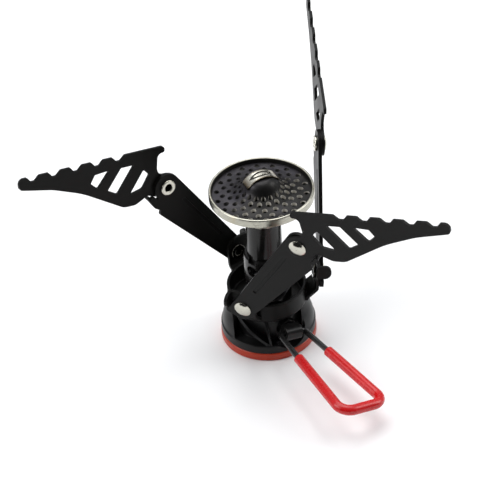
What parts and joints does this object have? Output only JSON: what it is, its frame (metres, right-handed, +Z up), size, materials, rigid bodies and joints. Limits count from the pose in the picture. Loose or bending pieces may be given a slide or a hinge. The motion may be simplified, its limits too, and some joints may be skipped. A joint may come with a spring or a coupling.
{
  "type": "camping stove",
  "caption": "Compact canister-top gas stove with folding toothed pot supports, a perforated burner head and a wire valve handle.",
  "frame": {"origin": "centre of the cartridge thread's mouth, in the plane of the base ring's underside", "axes": "+Z up along the burner axis; the cartridge leaves along -Z; +Y towards the rear arm; the valve handle points out at 64 degrees from +X towards -Y"},
  "size_m": [0.1265, 0.1303, 0.0824],
  "materials": {
    "orange_ring": "semi-gloss orange-red ring",
    "black_moulding": "satin black moulding",
    "valve_metal": "turned metal",
    "seal_rubber": "soft black rubber",
    "brass": "turned brass",
    "black_metal": "blackened metal",
    "satin_black": "satin black coated sheet",
    "gloss_black": "glossy black tube",
    "rim_steel": "warm brushed stainless steel",
    "burnt_steel": "dark heat-stained sheet",
    "emblem_metal": "aged silver",
    "rivet_steel": "polished steel",
    "black_wire": "glossy black wire",
    "red_sleeve": "glossy red sleeve"
  },
  "bodies": {
    "stove_body": {"base_ring": "orange_ring", "skirt": "black_moulding", "valve_body": "valve_metal", "cartridge_seal": "seal_rubber", "valve_pin": "brass", "spindle_gland": "black_metal", "spindle_o_ring": "seal_rubber", "gas_jet": "brass", "jet_filter": "brass", "support_ring": "satin_black", "lock_nut": "black_metal", "mixer_tube": "gloss_black", "burner_tube": "gloss_black", "burner_pan": "rim_steel", "burner_rim": "rim_steel", "burner_plate": "burnt_steel", "emblem_plate": "emblem_metal", "lower_rivet_rear": "rivet_steel", "lower_rivet_left": "rivet_steel", "lower_rivet_right": "rivet_steel"},
    "valve_spindle": {"spindle": "valve_metal", "handle_hub": "black_metal"},
    "handle": {"wire_handle": "black_wire", "handle_sleeve": "red_sleeve"},
    "link_rear": {"arm_link_rear": "satin_black", "upper_rivet_rear": "rivet_steel"},
    "support_rear": {"blade_rear": "satin_black"},
    "link_left": {"arm_link_left": "satin_black", "upper_rivet_left": "rivet_steel"},
    "support_left": {"blade_left": "satin_black"},
    "link_right": {"arm_link_right": "satin_black", "upper_rivet_right": "rivet_steel"},
    "support_right": {"blade_right": "satin_black"}
  },
  "joints": [
    {"name": "valve_turn", "type": "hinge", "parent": "stove_body", "child": "valve_spindle", "pos_m": [0.00639, -0.01357, 0.0096], "axis": [0.4258, -0.9048, 0], "range_deg": [0, 720]},
    {"name": "handle_fold", "type": "hinge", "parent": "valve_spindle", "child": "handle", "pos_m": [0.00639, -0.01357, 0.0096], "axis": [-0.8867, -0.4172, 0.1994], "range_deg": [0, 50]},
    {"name": "link_fold_rear", "type": "hinge", "parent": "stove_body", "child": "link_rear", "pos_m": [0.01828, 0, 0.0234], "axis": [0.9959, 0, -0.0906], "range_deg": [0, 32]},
    {"name": "blade_fold_rear", "type": "hinge", "parent": "link_rear", "child": "support_rear", "pos_m": [0.02153, 0.02225, 0.05804], "axis": [0.9959, 0, -0.0906], "range_deg": [0, 168]},
    {"name": "link_fold_left", "type": "hinge", "parent": "stove_body", "child": "link_left", "pos_m": [-0.00914, 0.01583, 0.0234], "axis": [-0.4979, 0.8625, -0.0906], "range_deg": [0, 32]},
    {"name": "blade_fold_left", "type": "hinge", "parent": "link_left", "child": "support_left", "pos_m": [-0.03003, 0.00752, 0.05804], "axis": [-0.4979, 0.8625, -0.0906], "range_deg": [0, 168]},
    {"name": "link_fold_right", "type": "hinge", "parent": "stove_body", "child": "link_right", "pos_m": [-0.00914, -0.01583, 0.0234], "axis": [-0.4979, -0.8625, -0.0906], "range_deg": [0, 32]},
    {"name": "blade_fold_right", "type": "hinge", "parent": "link_right", "child": "support_right", "pos_m": [0.00851, -0.02977, 0.05804], "axis": [-0.4979, -0.8625, -0.0906], "range_deg": [0, 168]}
  ]
}
